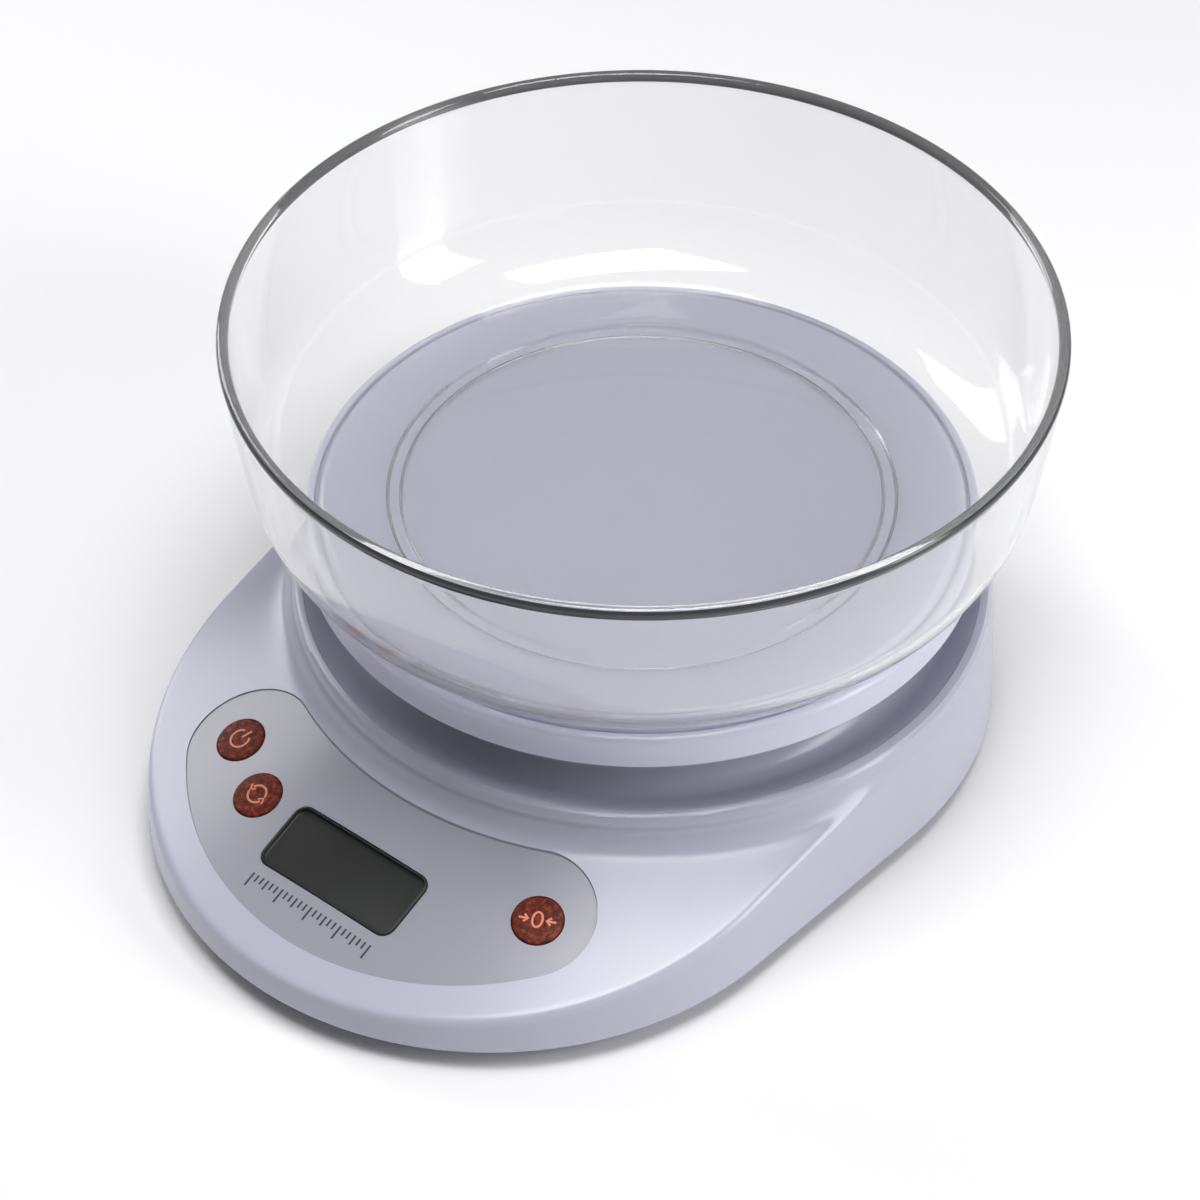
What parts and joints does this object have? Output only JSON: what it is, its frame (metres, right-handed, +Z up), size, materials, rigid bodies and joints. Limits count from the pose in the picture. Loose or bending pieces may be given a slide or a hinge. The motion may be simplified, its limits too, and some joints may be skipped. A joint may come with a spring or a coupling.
{
  "type": "kitchen scale",
  "caption": "Battery weighing scale: low plastic housing with a sloping display panel and push buttons, a round load-cell platform and a clear lift-off bowl.",
  "frame": {"origin": "on the ground, at the centre of the overall box's underside", "axes": "+Z up; -Y towards the user and the display; +X to the user's right"},
  "size_m": [0.21, 0.2535, 0.124],
  "materials": {
    "shell": "smooth glossy moulded ABS",
    "base": "fine moulded texture",
    "panel": "satin printed overlay",
    "window": "glossy tinted acrylic",
    "lcd": "display glass",
    "white_plastic": "moulded ABS",
    "zebra": "conductive elastomer",
    "board": "solder-masked glass-epoxy board",
    "black_plastic": "moulded or potted black plastic",
    "button": "metallic copper-brown keys",
    "plunger": "moulded plastic",
    "aluminium": "machined",
    "coating": "cured silicone",
    "steel": "zinc-plated",
    "contact": "nickel-plated strip and spring wire",
    "wire": "coloured insulation",
    "clear_bowl": "clear polished styrene-acrylonitrile",
    "cell": "sleeved dry cell",
    "foot_rubber": "matt rubber"
  },
  "bodies": {
    "housing": {"upper_housing": "shell", "lower_housing": "base", "panel_overlay": "panel", "lcd_window": "window", "lcd_glass": "lcd", "lcd_holder": "white_plastic", "zebra_strips": "zebra", "main_board": "board", "chip_cover": "black_plastic", "board_components": "black_plastic", "tact_switches": "black_plastic", "board_screws": "steel", "load_cell": "aluminium", "gauge_coating": "coating", "load_cell_screws_lower": "steel", "load_cell_wires": "wire", "battery_wires": "wire", "overload_screw": "steel", "battery_rear": "cell", "battery_front": "cell", "battery_positive_contact": "contact", "battery_negative_contact": "contact", "battery_link_contact": "contact", "foot_front_left": "foot_rubber", "foot_front_right": "foot_rubber", "foot_rear_left": "foot_rubber", "foot_rear_right": "foot_rubber", "housing_screws": "steel"},
    "platform": {"platform_bracket": "white_plastic", "platform_base": "shell", "platform_cover": "shell", "platform_screws": "steel", "load_cell_screws_upper": "steel"},
    "bowl": {"bowl": "clear_bowl"},
    "on_off_button": {"button_on_off": "button", "plunger_on_off": "plunger"},
    "mode_button": {"button_mode": "button", "plunger_mode": "plunger"},
    "tare_button": {"button_tare": "button", "plunger_tare": "plunger"},
    "battery_door": {"battery_door": "base"}
  },
  "joints": [
    {"name": "platform_load", "type": "slide", "parent": "housing", "child": "platform", "axis": [0, 0, -1], "range_m": [0, 0.0008], "stiffness_N_per_m": 60000, "deforming": ["load_cell", "gauge_coating"]},
    {"name": "bowl_lift", "type": "slide", "parent": "platform", "child": "bowl", "axis": [0, 0, 1], "range_m": [0, 0.08]},
    {"name": "on_off_press", "type": "slide", "parent": "housing", "child": "on_off_button", "axis": [0.1384, 0.2855, -0.9483], "range_m": [0, 0.0005], "stiffness_N_per_m": 2500},
    {"name": "mode_press", "type": "slide", "parent": "housing", "child": "mode_button", "axis": [0.0909, 0.304, -0.9483], "range_m": [0, 0.0005], "stiffness_N_per_m": 2500},
    {"name": "tare_press", "type": "slide", "parent": "housing", "child": "tare_button", "axis": [-0.1384, 0.2855, -0.9483], "range_m": [0, 0.0005], "stiffness_N_per_m": 2500},
    {"name": "battery_door_hinge", "type": "hinge", "parent": "housing", "child": "battery_door", "pos_m": [0, -0.03285, 0.0047], "axis": [1, 0, 0], "range_deg": [0, 90]}
  ]
}
